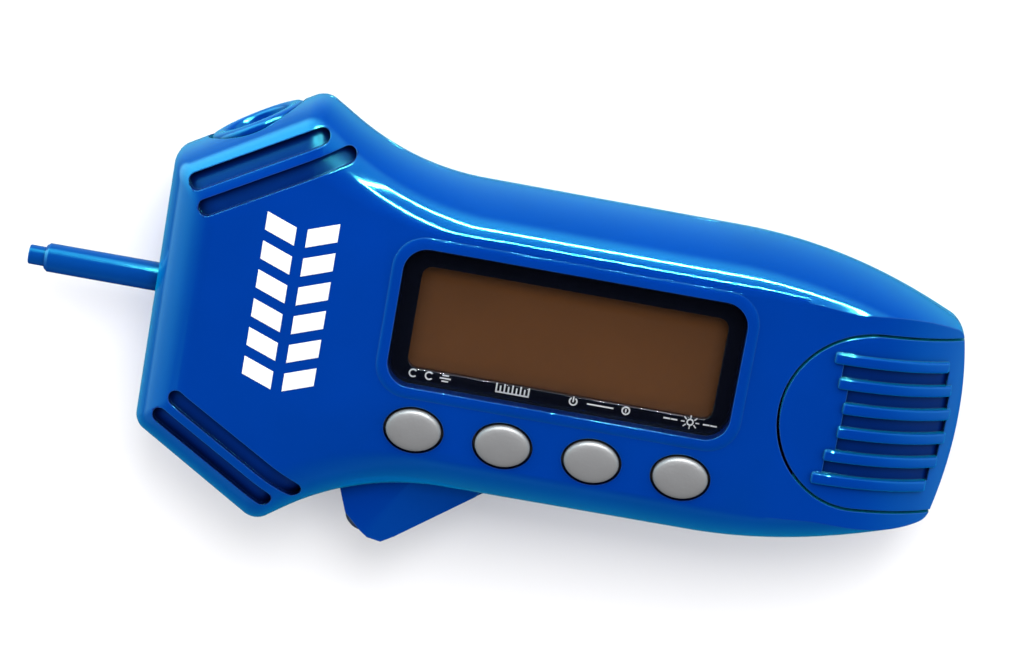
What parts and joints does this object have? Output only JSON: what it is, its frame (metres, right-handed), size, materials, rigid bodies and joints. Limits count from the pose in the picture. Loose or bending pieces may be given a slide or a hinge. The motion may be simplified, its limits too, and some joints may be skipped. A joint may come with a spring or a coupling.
{
  "type": "tire tread gauge",
  "caption": "Hand-held digital tyre gauge with a sprung tread depth probe, valve socket, torch, display, oval keys and a sliding battery cover.",
  "frame": {"origin": "middle of the flat back, below the middle of the moulded body's length", "axes": "+X from the measuring face to the tail, +Y to the valve socket side, +Z out of the display"},
  "size_m": [0.1292, 0.0598, 0.0249],
  "materials": {
    "body_blue": "glossy moulded ABS",
    "probe_blue": "glossy moulded acetal",
    "white_plastic": "natural moulded nylon",
    "black_plastic": "matt moulded black",
    "black_gloss": "glossy black print behind the window",
    "clear_plastic": "clear polished acrylic",
    "lcd_brown": "unlit liquid crystal glass, brown",
    "key_grey": "fine matt moulded grey",
    "circuit_board": "green solder mask",
    "brass": "turned brass",
    "spring_steel": "drawn spring wire",
    "screw_steel": "zinc plated steel",
    "cell_steel": "brushed nickel plated steel",
    "reflector_chrome": "metallised plastic",
    "black_rubber": "moulded rubber",
    "silicone": "milky silicone tube"
  },
  "bodies": {
    "housing": {"front_shell": "body_blue", "back_shell": "body_blue", "valve_socket": "body_blue", "probe_guide": "white_plastic", "sensor_strip": "circuit_board", "probe_spring": "spring_steel", "valve_seal": "black_rubber", "valve_pin": "brass", "air_tube": "silicone", "pressure_sensor": "black_plastic", "torch_lens": "clear_plastic", "torch_collar": "black_plastic", "torch_reflector": "reflector_chrome", "torch_led": "white_plastic", "display_lens": "clear_plastic", "display_frame": "black_gloss", "lcd_panel": "lcd_brown", "lcd_reflector": "white_plastic", "zebra_strip_upper": "black_rubber", "zebra_strip_lower": "black_rubber", "mode_switch": "black_plastic", "unit_switch": "black_plastic", "power_switch": "black_plastic", "light_switch": "black_plastic", "main_board": "circuit_board", "controller_chip": "black_plastic", "board_screw_1": "screw_steel", "board_screw_2": "screw_steel", "case_screw_1": "screw_steel", "case_screw_2": "screw_steel", "case_screw_3": "screw_steel", "case_screw_4": "screw_steel", "battery_tray": "black_plastic", "coin_cell": "cell_steel", "positive_contact": "screw_steel", "negative_contact": "screw_steel"},
    "probe": {"tread_probe": "probe_blue", "probe_carriage": "white_plastic", "wiper_contact": "brass"},
    "mode_key": {"mode_button": "key_grey"},
    "unit_key": {"unit_button": "key_grey"},
    "power_key": {"power_button": "key_grey"},
    "light_key": {"light_button": "key_grey"},
    "cover": {"battery_cover": "body_blue"}
  },
  "joints": [
    {"name": "probe_slide", "type": "slide", "parent": "housing", "child": "probe", "axis": [1, 0, 0], "range_m": [0, 0.0182], "stiffness_N_per_m": 60, "springref_m": -0.01, "deforming": ["probe_spring"]},
    {"name": "mode_press", "type": "slide", "parent": "housing", "child": "mode_key", "axis": [0, 0, -1], "range_m": [0, 0.0008], "stiffness_N_per_m": 1500, "springref_m": -0.0003},
    {"name": "unit_press", "type": "slide", "parent": "housing", "child": "unit_key", "axis": [0, 0, -1], "range_m": [0, 0.0008], "stiffness_N_per_m": 1500, "springref_m": -0.0003},
    {"name": "power_press", "type": "slide", "parent": "housing", "child": "power_key", "axis": [0, 0, -1], "range_m": [0, 0.0008], "stiffness_N_per_m": 1500, "springref_m": -0.0003},
    {"name": "light_press", "type": "slide", "parent": "housing", "child": "light_key", "axis": [0, 0, -1], "range_m": [0, 0.0008], "stiffness_N_per_m": 1500, "springref_m": -0.0003},
    {"name": "cover_slide", "type": "slide", "parent": "housing", "child": "cover", "axis": [1, 0, 0], "range_m": [0, 0.027]}
  ]
}
